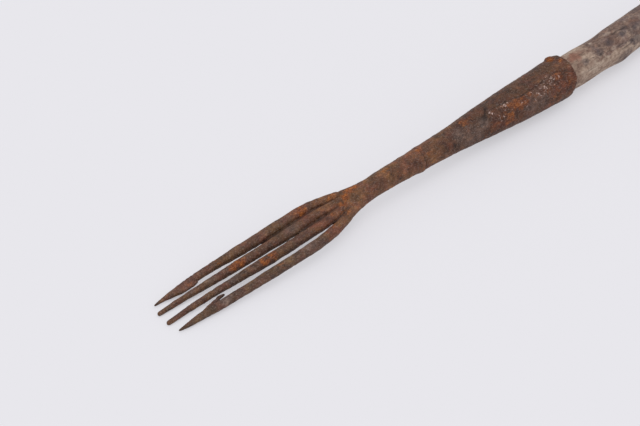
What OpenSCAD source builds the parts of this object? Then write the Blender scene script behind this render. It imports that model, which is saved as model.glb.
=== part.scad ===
// Four-pointed iron fish spear on a wooden shaft, lying on a table.
// The spear lies along X with its points at -X, +Y is its far side and the table is at z = 0.
// Distances called "ahead" run from the centre of the socket's mouth towards the points.

/* [Shaft] */
// Length of shaft from the socket's mouth to the butt
shaft_len = 900; // [500:10:1600]
// Diameter of the shaft where it enters the socket
shaft_mouth_d = 26; // [22:0.5:32]
// Diameter of the butt and of the straight grip in front of it
butt_d = 33.5; // [28:0.5:40]
// Length of the straight grip
grip_len = 250; // [120:10:400]
// Bevel round the butt
butt_bevel = 2; // [0.5:0.5:5]
// Gap inside the socket between the shaft's whittled end and the neck's tang
shaft_end_gap = 7.5; // [2:0.5:40]

/* [Socket] */
// Length from the mouth to the narrow end lapped on the neck
socket_len = 139.5; // [125:0.5:180]
// Thickness of the rolled plate
socket_wall = 3.3; // [2:0.1:4]
// Play between the whittled shaft and the socket
shaft_fit = 0.2; // [0.1:0.05:0.5]
// Distance ahead of the swell that the socket's side is drawn to
belly_at = 59.5; // [40:0.5:75]
// Diameter of that swell
belly_d = 28.2; // [25:0.1:31]
// Distance ahead of the throat that the socket's side is drawn to
throat_at = 115.5; // [100:0.5:124]
// Diameter of that throat
throat_d = 17.8; // [16:0.1:20]
// Diameter of the narrow end
socket_end_d = 17.6; // [16:0.1:20]
// Slant of the mouth, in degrees
mouth_slant = 11.4; // [0:0.2:25]
// Side on which the mouth is longest, in degrees from the top towards the far side
lip_angle = -30; // [-90:1:90]
// Rise of the rolled plate's lapped edge over the plate below it, at the mouth
lap_rise = 1.3; // [0.5:0.1:2.5]
// Distance ahead of the mouth where the lapped edge has faded away
lap_len = 104; // [60:1:120]
// Side on which the lapped edge lies, in degrees from the top towards the far side
lap_angle = -28; // [-90:1:0]

/* [Neck] */
// Length from the socket's narrow end to the roots of the tines
neck_len = 70; // [55:1:110]
// Length of the tang inside the socket
tang_len = 34; // [15:1:36]
// Play between the tang and the socket
tang_fit = 0.05; // [0.02:0.01:0.2]
// Height of the step where the socket ends on the neck
neck_step = 0.2; // [0.1:0.05:0.8]
// Diameter of the waist
waist_d = 15.2; // [12:0.1:17]
// Length over which the waist is flattened into the palm
palm_len = 24; // [15:1:40]
// Thickness of the palm where the tines start
palm_t = 9.5; // [7:0.1:13]
// Rise of the scarfed joint for each millimetre along the spear
scarf = 0.6; // [0:0.05:1]

/* [Tines] */
// Length of the two outer tines from the palm
outer_len = 149.8; // [110:0.1:220]
// Length of the two inner tines from the palm
inner_len = 153; // [110:0.1:220]
// Width of a tine at its root
root_w = 6.2; // [5:0.1:7]
// Gap between neighbouring roots
root_gap = 0.15; // [0.1:0.05:0.5]
// Width of a tine past its root
tine_w = 8.1; // [7:0.1:10]
// Gap between neighbouring tines where they run side by side
tine_gap = 2.75; // [1.5:0.05:5]
// Height of a tine as a share of its width
tine_flat = 0.96; // [0.7:0.01:1.2]
// Length over which the tines spread from the palm
spread_len = 36; // [25:1:50]
// Width of an inner tine's blunt end
blunt_w = 3.2; // [2:0.1:5]
// Width of an outer tine just behind its point
head_w = 6; // [5:0.1:7]
// Width of an outer tine's very point
point_w = 1; // [0.6:0.1:2]
// Length of an outer tine's tapering point
point_len = 32; // [20:1:45]
// Distance between the two inner tines' centrelines at their ends
end_pitch = 10; // [7:0.1:14]
// Sideways bend of the whole fork where the tines run side by side
lean_mid = 0.6; // [-4:0.1:4]
// Sideways bend of the whole fork at its points
lean_tip = 4.4; // [-4:0.1:6]

/* [Barbs] */
// Reach of the near barb from its tine's centreline
near_reach = 6; // [4.5:0.1:8]
// Distance of the near barb's tip behind the tine's point
near_barb_at = 41.5; // [36:0.5:60]
// Reach of the far barb from its tine's centreline
far_reach = 3.6; // [3.2:0.1:8]
// Distance of the far barb's tip behind the tine's point
far_barb_at = 32.5; // [30:0.5:60]
// Length of a barb from where it leaves the tine to its tip
barb_len = 16; // [10:0.5:24]
// Gap between a barb and the tine beside it
barb_gap = 1; // [0.5:0.1:4]

/* [Nail] */
// Distance of the nail ahead of the mouth
nail_at = 7; // [4:0.5:20]
// Side on which the nail sits, in degrees from the top towards the far side
nail_angle = 33; // [10:1:120]
// Diameter of the nail's shank
nail_d = 3.2; // [2:0.1:5]
// Length of the shank below the socket's surface
nail_len = 15; // [8:0.5:16]
// Diameter of the hammered head
nail_head_d = 8.4; // [6:0.2:12]
// Height of the head above the socket
nail_head_h = 2; // [1:0.1:3]
// Play between the shank and the socket
nail_play = 0.15; // [0.05:0.05:0.4]

/* [Hidden] */
$fn = 96;

iron = [0.36, 0.25, 0.19];
rust = [0.58, 0.31, 0.16];
wood = [0.53, 0.47, 0.41];

mouth_r = shaft_mouth_d / 2 + shaft_fit + socket_wall;
root_at = socket_len + neck_len;
tip_at = root_at + max(inner_len, outer_len);
total_len = tip_at + shaft_len;
mouth_x = total_len / 2 - shaft_len;
rest_h = max(butt_d / 2, mouth_r);
nail_fit = 0.02;
shaft_end_len = socket_len - tang_len - shaft_end_gap;
hair = 0.05;
big = 200;

// The socket's side, as [ahead, radius], is two curves that meet halfway between the swell and the throat.
lip_len = mouth_r * tan(mouth_slant) + 1;
side = [[-lip_len, mouth_r], [belly_at, belly_d / 2], [throat_at, throat_d / 2],
        [socket_len, socket_end_d / 2]];
side_mid = (side[1] + side[2]) / 2;
side_steps = 10;
function bend(p, q, r, u) = (1 - u) ^ 2 * p + 2 * u * (1 - u) * q + u ^ 2 * r;
side_line = concat(
    [for (i = [0:side_steps]) bend(side[0], side[1], side_mid, i / side_steps)],
    [for (i = [1:side_steps]) bend(side_mid, side[2], side[3], i / side_steps)]);
function socket_r(a) = lookup(a, side_line);

// The stretch of the socket's side between two stations, moved inwards by inset.
function side_part(from, to, inset) = concat(
    [[socket_r(from) - inset, from]],
    [for (p = side_line) if (p[0] > from && p[0] < to) [p[1] - inset, p[0]]],
    [[socket_r(to) - inset, to]]);

// Widths of the tines, s is the distance from the root.
function ease(u) = 1 - (1 - min(max(u, 0), 1)) ^ 2;
function root_taper(s) = (tine_w - root_w) * (1 - ease(s / spread_len));
function inner_w(s) = blunt_w + (tine_w - blunt_w) * (1 - (s / inner_len) ^ 2.1) - root_taper(s);
shank_len = outer_len - point_len;
function outer_w(s) = s < shank_len ? tine_w + (head_w - tine_w) * s / shank_len - root_taper(s) :
    point_w + (head_w - point_w) * (1 - ((s - shank_len) / point_len) ^ 2);

// Heights: the neck and the tines droop until the tines touch the table.
droop_at = socket_len + 26;
droop_blend = 30;
function fall(s) = root_at + s - droop_at - droop_blend / 2;
droop_k = min(concat(
    [for (s = [spread_len:inner_len]) (rest_h - inner_w(s) * tine_flat / 2) / fall(s)],
    [for (s = [spread_len:outer_len]) (rest_h - outer_w(s) * tine_flat / 2) / fall(s)]));
function droop(d) = d < 0 ? 0 :
    d < droop_blend ? droop_k * d * d / (2 * droop_blend) : droop_k * (d - droop_blend / 2);
function centre_h(a) = rest_h - droop(a - droop_at);

// A barb, u runs from where it leaves its tine to its tip: how thick it is and how far off it stands.
barb_root_half = 2.2;
barb_tip_half = 0.4;
barb_root_reach = 1.2;
barb_widest = 0.8;
function barb_half(u) = barb_tip_half + (barb_root_half - barb_tip_half) * (1 - u * u);
function barb_off(u, reach) = barb_root_reach + (reach - barb_root_reach) * sin(90 * u / barb_widest);

// Sideways places of the tines, i counts 0 to 3 from the near side to the far side.
// At the points each outer tine's barb clears the inner tine beside it.
function barb_pitch(reach, at) = reach + barb_half(barb_widest) + barb_gap + inner_w(outer_len - at) / 2;
near_pitch = barb_pitch(near_reach, near_barb_at);
far_pitch = barb_pitch(far_reach, far_barb_at);
root_pitch = root_w + root_gap;
mid_pitch = tine_w + tine_gap;
palm_w = 4 * root_w + 3 * root_gap;
function root_y(i) = (i - 1.5) * root_pitch;
function mid_y(i) = (i - 1.5) * mid_pitch + lean_mid;
function tip_y(i) = lean_tip + [-end_pitch / 2 - near_pitch, -end_pitch / 2, end_pitch / 2,
    end_pitch / 2 + far_pitch][i];
function fan(i, s) = root_y(i) + (mid_y(i) - root_y(i)) * ease(s / spread_len)
    + (tip_y(i) - mid_y(i)) * max(0, s - spread_len) / (inner_len - spread_len);

// One ring of a swept bar: a rounded square of width w and height t, turned by heading and sheared by lean.
squareness = 2.5;
ring_sides = 16;
function power(v, e) = sign(v) * abs(v) ^ e;
function ring(place, w, t, heading = 0, lean = 0, n = ring_sides, square = squareness) =
    [for (i = [0:n - 1])
        let (q = 360 * i / n,
             across = w / 2 * power(cos(q), 2 / square),
             up = t / 2 * power(sin(q), 2 / square))
        place + [across * sin(heading) + up * lean, across * cos(heading), up]];

// A solid through a row of rings that run from the butt's end towards the points.
module loft(rings) {
    n = len(rings[0]);
    m = len(rings);
    polyhedron(
        points = [for (r = rings) each r],
        faces = concat(
            [[for (i = [n - 1:-1:0]) i]],
            [for (j = [0:m - 2], i = [0:n - 1]) [j * n + i, j * n + (i + 1) % n, (j + 1) * n + i]],
            [for (j = [0:m - 2], i = [0:n - 1])
                [j * n + (i + 1) % n, (j + 1) * n + (i + 1) % n, (j + 1) * n + i]],
            [[for (i = [0:n - 1]) (m - 1) * n + i]]));
}

// Puts a shape drawn along Z on to the spear's axis: Z runs ahead and X points up.
module on_axis() {
    translate([mouth_x, 0, rest_h]) rotate([0, -90, 0]) children();
}

// Puts a shape drawn along Z on the nail's line, with z = 0 at the socket's surface.
module on_nail() {
    on_axis() rotate([0, 0, nail_angle]) translate([socket_r(nail_at), 0, nail_at]) rotate([0, 90, 0])
        children();
}

module shaft() {
    grip_r = butt_d / 2;
    color(wood) difference() {
        on_axis() rotate_extrude() polygon(concat(
            [[0, -shaft_len], [grip_r - butt_bevel, -shaft_len], [grip_r, -shaft_len + butt_bevel],
             [grip_r, grip_len - shaft_len], [shaft_mouth_d / 2, -lip_len]],
            side_part(0, shaft_end_len, socket_wall + shaft_fit),
            [[0, shaft_end_len]]));
        on_nail() translate([0, 0, -nail_len - hair]) cylinder(h = nail_len + big, d = nail_d + 2 * nail_fit);
    }
}

module socket() {
    color(iron) difference() {
        on_axis() difference() {
            union() {
                plate(socket_len, socket_wall);
                lapped_edge();
            }
            rotate([0, 0, lip_angle]) rotate([0, mouth_slant, 0])
                translate([-big / 2, -big / 2, -big]) cube([big, big, big]);
        }
        on_nail() translate([0, 0, -2 * socket_wall])
            cylinder(h = 4 * socket_wall, d = nail_d + 2 * nail_play);
    }
}

// The rolled plate from the mouth to a station, with its inner face below its outer one by deep.
module plate(to, deep) {
    outer = side_part(-lip_len, to, 0);
    rotate_extrude() polygon(concat(outer,
        [for (p = [len(outer) - 1:-1:0]) [outer[p][0] - deep, outer[p][1]]]));
}

// The near edge of the plate stands proud of the far one: the same plate, tilted outwards on the near side.
module lapped_edge() {
    lean = 30;
    reach = 80;
    tilt = atan(lap_rise / cos(lean) / lap_len);
    intersection() {
        rotate([0, 0, lap_angle - lean]) translate([0, 0, lap_len]) rotate([0, -tilt, 0])
            translate([0, 0, -lap_len]) plate(0.94 * lap_len, socket_wall / 2);
        rotate([0, 0, lap_angle]) translate([-big / 2, -big, -big]) cube([big, big, 2 * big]);
        rotate([0, 0, lap_angle - lean - reach]) translate([-big / 2, 0, -big]) cube([big, big, 2 * big]);
    }
}

module neck() {
    shoulder_d = socket_end_d - 2 * neck_step;
    palm_at = neck_len - palm_len;
    round_steps = 7;
    palm_steps = 8;
    color(iron) union() {
        on_axis() rotate_extrude() polygon(concat(
            [[0, socket_len - tang_len]],
            side_part(socket_len - tang_len, socket_len, socket_wall + tang_fit),
            [[socket_end_d / 2 - socket_wall - tang_fit, socket_len + 2], [0, socket_len + 2]]));
        loft(concat(
            [for (i = [0:round_steps - 1])
                let (s = palm_at * i / round_steps,
                     d = waist_d + (shoulder_d - waist_d) * (1 - s / palm_at) ^ 1.2)
                neck_ring(s, d, d, 0, 2)],
            [for (i = [0:palm_steps])
                let (u = i / palm_steps)
                neck_ring(palm_at + palm_len * u, waist_d + (palm_w - waist_d) * u ^ 1.75,
                          waist_d + (palm_t - waist_d) * u, scarf * u ^ 2, 2 + (squareness - 2) * u)]));
    }
}

// A ring of the neck, s past the socket.
function neck_ring(s, w, t, lean, square) =
    ring([mouth_x - socket_len - s, 0, centre_h(socket_len + s)], w, t, 0, lean, 2 * ring_sides, square);

// A ring of a tine: its root lies in the scarf and it turns with the tine further on.
scarf_len = 14;
function tine_ring(i, s, w) =
    let (slope = fan(i, s + 0.5) - fan(i, s - 0.5),
         settle = min(1, s / scarf_len),
         t = w * tine_flat + (palm_t - root_w * tine_flat) * (1 - settle) ^ 2)
    ring([mouth_x - root_at - s, fan(i, s), centre_h(root_at + s)],
         w, t, atan(slope) * settle, scarf * (1 - settle));

// Stations along a tine: close together at the root and at the end, which is rounded.
near_steps = 10;
far_steps = 20;
near_part = 38;
function stations(length, end) = concat(
    [for (j = [0:near_steps - 1]) near_part * j / near_steps],
    [for (j = [0:far_steps - 1]) near_part + (length - end - near_part) * j / (far_steps - 1)],
    [for (q = [30, 55, 75]) length - end + end * sin(q)]);
function end_round(s, length, end) = s < length - end ? 1 : sqrt(1 - ((s - length + end) / end) ^ 2);

module inner_tine(i) {
    end = 2;
    color(iron) loft([for (s = stations(inner_len, end))
        tine_ring(i, s, inner_w(s) * end_round(s, inner_len, end))]);
}

module outer_tine(i, barb_at, reach) {
    end = 0.8;
    color(iron) union() {
        loft([for (s = stations(outer_len, end))
            tine_ring(i, s, outer_w(s) * end_round(s, outer_len, end))]);
        barb(i, barb_at, reach);
    }
}

// A barb leaves the inner side of its tine, swells outwards and hooks back towards the palm.
module barb(i, barb_at, reach) {
    steps = 8;
    inwards = i == 0 ? 1 : -1;
    height = 1.2;
    loft([for (j = [steps:-1:0])
        let (u = j / steps,
             s = outer_len - barb_at + barb_len * (1 - u))
        ring([mouth_x - root_at - s, fan(i, s) + inwards * barb_off(u, reach), centre_h(root_at + s)],
             2 * barb_half(u), 2 * height * barb_half(u), n = 12)]);
}

module tine_far_outer() {
    outer_tine(3, far_barb_at, far_reach);
}

module tine_far_inner() {
    inner_tine(2);
}

module tine_near_inner() {
    inner_tine(1);
}

module tine_near_outer() {
    outer_tine(0, near_barb_at, near_reach);
}

module socket_nail() {
    head_ball = (nail_head_d ^ 2 / 4 + nail_head_h ^ 2) / (2 * nail_head_h);
    color(rust) difference() {
        on_nail() union() {
            intersection() {
                translate([0, 0, nail_head_h - head_ball]) sphere(r = head_ball);
                translate([0, 0, -nail_head_h]) cylinder(h = 3 * nail_head_h, d = nail_head_d);
            }
            translate([0, 0, -nail_len]) cylinder(h = nail_len, d = nail_d);
        }
        on_axis() difference() {
            rotate_extrude() polygon(concat(side_part(-lip_len, socket_len, -hair),
                [[0, socket_len], [0, -lip_len]]));
            rotate([0, 0, nail_angle]) translate([0, 0, nail_at]) rotate([0, 90, 0])
                cylinder(h = big, d = nail_d);
        }
    }
}

shaft();
socket();
neck();
tine_far_outer();
tine_far_inner();
tine_near_inner();
tine_near_outer();
socket_nail();
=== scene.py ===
import math
from itertools import product

import bpy
import numpy as np
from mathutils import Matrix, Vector


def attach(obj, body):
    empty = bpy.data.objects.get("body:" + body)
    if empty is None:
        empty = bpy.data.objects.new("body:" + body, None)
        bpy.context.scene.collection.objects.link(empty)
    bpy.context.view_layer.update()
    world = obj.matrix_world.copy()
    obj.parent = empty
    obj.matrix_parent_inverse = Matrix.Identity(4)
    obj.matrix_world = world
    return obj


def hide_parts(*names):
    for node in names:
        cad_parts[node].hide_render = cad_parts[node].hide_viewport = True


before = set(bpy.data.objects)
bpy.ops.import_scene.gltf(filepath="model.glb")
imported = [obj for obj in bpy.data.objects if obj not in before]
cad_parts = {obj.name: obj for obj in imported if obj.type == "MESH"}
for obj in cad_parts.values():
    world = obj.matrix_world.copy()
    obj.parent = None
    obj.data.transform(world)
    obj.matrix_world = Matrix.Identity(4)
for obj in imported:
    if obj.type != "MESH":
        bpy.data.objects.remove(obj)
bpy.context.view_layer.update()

# Lengths here are in millimetres. "Ahead" runs from the centre of the socket's mouth towards the points,
# and angles round the axis are in degrees from the top, with the far side positive.
SHAFT_LEN = 900.0
REST_H = 16.75
SOCKET_LEN = 139.5
SOCKET_WALL = 3.3
SOCKET_END_R = 8.8
# The corners that the socket's side bends towards: ahead, radius.
SOCKET_BENDS = ((59.5, 14.1), (115.5, 8.9))
MOUTH_R = 16.5
MOUTH_SLANT = math.radians(11.4)
LIP_ANGLE = -30.0
# The nail's head shows a little nearer the mouth than the solid has it.
NAIL_AT = 7.0
NAIL_SEEN_AT = 5.0
NAIL_ANGLE = 33.0
NAIL_HEAD_R = 4.2
NECK_LEN = 70.0
WAIST_D = 15.2
PALM_LEN = 24.0
PALM_T = 9.5
SCARF = 0.6
WEB_LEN = 66.0
OUTER_LEN = 149.8
INNER_LEN = 153.0
ROOT_W = 6.2
ROOT_GAP = 0.15
TINE_W = 8.1
TINE_GAP = 2.75
TINE_FLAT = 0.96
SPREAD_LEN = 36.0
BLUNT_W = 3.2
HEAD_W = 6.0
POINT_W = 1.0
POINT_LEN = 32.0
SHANK_LEN = OUTER_LEN - POINT_LEN
END_PITCH = 10.0
LEAN_MID = 0.6
LEAN_TIP = 4.4
DROOP_AT = SOCKET_LEN + 26
DROOP_BLEND = 30.0
# The solids' barbs, which set how far apart the points stand: by tine, distance behind its point and reach.
BARBS = {0: (41.5, 6.0), 3: (32.5, 3.6)}
BARB_ROOT_HALF = 2.2
BARB_TIP_HALF = 0.4
BARB_WIDEST = 0.8
BARB_GAP = 1.0
ROOT_AT = SOCKET_LEN + NECK_LEN
TIP_AT = ROOT_AT + INNER_LEN
MOUTH_X = (TIP_AT - SHAFT_LEN) / 2.0


# Noise

LOW_BITS = 0xFFFFFFFF
GRADS = np.array([(1, 1, 0), (-1, 1, 0), (1, -1, 0), (-1, -1, 0),
                  (1, 0, 1), (-1, 0, 1), (1, 0, -1), (-1, 0, -1),
                  (0, 1, 1), (0, -1, 1), (0, 1, -1), (0, -1, -1),
                  (1, 1, 0), (-1, 1, 0), (0, -1, 1), (0, -1, -1)], float)


def scatter(cells, seed):
    """A pseudo-random whole number for each cell of a grid."""
    c = cells.astype(np.int64) & LOW_BITS
    h = c[..., 0] * 374761393 + c[..., 1] * 668265263 + c[..., 2] * 1440662683 + seed * 974634777
    h = h & LOW_BITS
    h = ((h ^ (h >> 13)) * 1274126177) & LOW_BITS
    h = ((h ^ (h >> 15)) * 2246822519) & LOW_BITS
    return h ^ (h >> 16)


def ripple(p, size, seed):
    """Smooth noise from -1 to 1 with features of about size millimetres."""
    q = np.asarray(p, float) / size
    cell = np.floor(q)
    f = q - cell
    u = f * f * f * (f * (f * 6 - 15) + 10)
    total = np.zeros(q.shape[:-1])
    for corner in product((0, 1), repeat=3):
        g = GRADS[scatter(cell + corner, seed) & 15]
        weight = np.prod(np.where(corner, u, 1 - u), axis=-1)
        total += weight * np.sum(g * (f - corner), axis=-1)
    return total


def ripples(p, size, layers, seed):
    """Layers of noise, each half the size and height of the one before."""
    return sum(ripple(p, size / 2 ** k, seed + 17 * k) / 2 ** k for k in range(layers))


def lumps(p, size, seed):
    """Distance to the nearest of scattered points, in units of size, and a random number for that point."""
    q = np.asarray(p, float) / size
    cell = np.floor(q)
    best = np.full(q.shape[:-1], 9.0)
    tag = np.zeros(q.shape[:-1])
    for step in product((-1, 0, 1), repeat=3):
        c = cell + step
        spot = np.stack([scatter(c, seed + k) / 2.0 ** 32 for k in (1, 2, 3)], axis=-1)
        d = np.linalg.norm(c + spot - q, axis=-1)
        near = d < best
        best = np.where(near, d, best)
        tag = np.where(near, scatter(c, seed + 4) / 2.0 ** 32, tag)
    return best, tag


def wave(a, size, seed):
    """Noise that changes only along the spear."""
    return ripple(np.stack([a, 0 * a, 0 * a], -1), size, seed)


# Curves and tables

def smooth(lo, hi, x):
    """A soft step from 0 at lo to 1 at hi."""
    t = np.clip((x - lo) / (hi - lo), 0, 1)
    return t * t * (3 - 2 * t)


def hump(x, width):
    return np.exp(-(x / width) ** 2)


def ease(u):
    return 1 - (1 - np.clip(u, 0, 1)) ** 2


def power(v, e):
    return np.sign(v) * np.abs(v) ** e


def turns(count):
    """Angles in radians evenly round a circle."""
    return np.linspace(0, 2 * np.pi, count, endpoint=False)


def signed(angle):
    """An angle in degrees as one from -180 to 180."""
    return (angle + 180) % 360 - 180


def linear(x, table):
    """The value at x on straight lines between a table's pairs."""
    return np.interp(x, *zip(*table))


def curved(x, table):
    """The value at x on a smooth curve through a table's pairs."""
    xs, ys = (np.array(v, float) for v in zip(*table))
    slope = np.gradient(ys, xs)
    k = np.clip(np.searchsorted(xs, x) - 1, 0, len(xs) - 2)
    h = xs[k + 1] - xs[k]
    t = np.clip((x - xs[k]) / h, 0, 1)
    return ((2 * t ** 3 - 3 * t ** 2 + 1) * ys[k] + (t ** 3 - 2 * t ** 2 + t) * h * slope[k]
            + (3 * t ** 2 - 2 * t ** 3) * ys[k + 1] + (t ** 3 - t ** 2) * h * slope[k + 1])


# Shapes shared with the solids

def bend(u, start, corner, stop):
    return (1 - u) ** 2 * start + 2 * u * (1 - u) * corner + u * u * stop


def socket_side():
    """The socket's side as two smooth bends: distances ahead and radii."""
    lip = MOUTH_R * math.tan(MOUTH_SLANT) + 1
    ends = ((-lip, MOUTH_R), (SOCKET_LEN, SOCKET_END_R))
    start, first, second, stop = [np.array(v) for v in (ends[0], *SOCKET_BENDS, ends[1])]
    mid = (first + second) / 2
    u = np.linspace(0, 1, 11)[:, None]
    line = np.vstack([bend(u, start, first, mid), bend(u, mid, second, stop)[1:]])
    return line[:, 0], line[:, 1]


SIDE_A, SIDE_R = socket_side()


def socket_r(a):
    return np.interp(a, SIDE_A, SIDE_R)


def root_taper(s):
    return (TINE_W - ROOT_W) * (1 - ease(s / SPREAD_LEN))


def inner_w(s):
    return BLUNT_W + (TINE_W - BLUNT_W) * (1 - (np.clip(s, 0, None) / INNER_LEN) ** 2.1) - root_taper(s)


def outer_w(s):
    shank = TINE_W + (HEAD_W - TINE_W) * s / SHANK_LEN - root_taper(s)
    point = POINT_W + (HEAD_W - POINT_W) * (1 - (np.clip(s - SHANK_LEN, 0, None) / POINT_LEN) ** 2)
    return np.where(s < SHANK_LEN, shank, point)


def droop_rate():
    s = np.arange(SPREAD_LEN, INNER_LEN + 0.001)
    t = s[s <= OUTER_LEN]
    fall = ROOT_AT - DROOP_AT - DROOP_BLEND / 2
    inner = (REST_H - inner_w(s) * TINE_FLAT / 2) / (fall + s)
    outer = (REST_H - outer_w(t) * TINE_FLAT / 2) / (fall + t)
    return min(inner.min(), outer.min())


DROOP_K = droop_rate()


def centre_h(a):
    d = np.asarray(a, float) - DROOP_AT
    return REST_H - np.where(d < 0, 0, np.where(d < DROOP_BLEND, DROOP_K * d * d / (2 * DROOP_BLEND),
                                                DROOP_K * (d - DROOP_BLEND / 2)))


def barb_pitch(at, reach):
    half = BARB_TIP_HALF + (BARB_ROOT_HALF - BARB_TIP_HALF) * (1 - BARB_WIDEST * BARB_WIDEST)
    return reach + half + BARB_GAP + float(inner_w(OUTER_LEN - at)) / 2


NEAR_PITCH = barb_pitch(*BARBS[0])
FAR_PITCH = barb_pitch(*BARBS[3])
PALM_W = 4 * ROOT_W + 3 * ROOT_GAP


def root_y(i):
    return (i - 1.5) * (ROOT_W + ROOT_GAP)


def mid_y(i):
    return (i - 1.5) * (TINE_W + TINE_GAP) + LEAN_MID


def tip_y(i):
    half = END_PITCH / 2
    return LEAN_TIP + (-half - NEAR_PITCH, -half, half, half + FAR_PITCH)[i]


def fan(i, s):
    return (root_y(i) + (mid_y(i) - root_y(i)) * ease(s / SPREAD_LEN)
            + (tip_y(i) - mid_y(i)) * np.clip(s - SPREAD_LEN, 0, None) / (INNER_LEN - SPREAD_LEN))


# Mesh building

def to_row(points):
    """From (ahead, sideways, up) in millimetres to the row frame in metres."""
    p = np.array(points, float)
    p[..., 0] = MOUTH_X - p[..., 0]
    return p / 1000.0


def grid_faces(rows, cols, joined=False):
    """The faces between rings of points, and where joined also between the last ring and the first."""
    j = np.arange(rows - 1 + joined)[:, None] * cols
    i = np.arange(cols)
    k = (i + 1) % cols
    return np.stack([j + i, j + k, j + cols + k, j + cols + i], axis=-1).reshape(-1, 4) % (rows * cols)


def place(name, data):
    """A new object in the scene."""
    obj = bpy.data.objects.new(name, data)
    bpy.context.scene.collection.objects.link(obj)
    return obj


def build(name, points, faces):
    mesh = bpy.data.meshes.new(name)
    mesh.from_pydata([tuple(p) for p in to_row(points)], [], [tuple(int(v) for v in f) for f in faces])
    mesh.validate()
    mesh.update()
    mesh.polygons.foreach_set("use_smooth", [True] * len(mesh.polygons))
    return place(name, mesh)


def tube(rings, flip=False):
    """Points and faces of a closed solid through rings of equal length."""
    rings = np.asarray(rings, float)
    rows, cols = rings.shape[:2]
    faces = [list(f) for f in grid_faces(rows, cols)]
    points = np.vstack([rings.reshape(-1, 3), rings[0].mean(0)[None], rings[-1].mean(0)[None]])
    first, last = rows * cols, rows * cols + 1
    for i in range(cols):
        k = (i + 1) % cols
        faces.append([first, k, i])
        faces.append([last, (rows - 1) * cols + i, (rows - 1) * cols + k])
    if flip:
        faces = [f[::-1] for f in faces]
    return points, faces


def grid_normals(rings):
    """Outward unit normals of a tube's rings, which run round the axis."""
    around = np.roll(rings, -1, axis=1) - np.roll(rings, 1, axis=1)
    lengthwise = np.gradient(rings, axis=0)
    n = np.cross(around, lengthwise)
    n /= np.linalg.norm(n, axis=-1, keepdims=True) + 1e-12
    centre = rings.mean(axis=1, keepdims=True)
    sign = np.sign(np.sum(n * (rings - centre), axis=-1).mean())
    return n * sign


def displace(rings, heights):
    return rings + grid_normals(rings) * np.asarray(heights)[..., None]


def set_value(obj, name, values):
    mesh = obj.data
    layer = mesh.attributes.get(name) or mesh.attributes.new(name, "FLOAT", "POINT")
    layer.data.foreach_set("value", np.asarray(values, np.float32).ravel())


def point_vectors(mesh, name):
    """The places (co) or normals (normal) of a mesh's points."""
    values = np.zeros(len(mesh.vertices) * 3)
    mesh.vertices.foreach_get(name, values)
    return values.reshape(-1, 3)


def spear_coords(obj):
    """The mesh's points as (ahead, sideways, up) in millimetres."""
    co = point_vectors(obj.data, "co") * 1000.0
    co[:, 0] = MOUTH_X - co[:, 0]
    return co


# Iron skin

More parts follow.
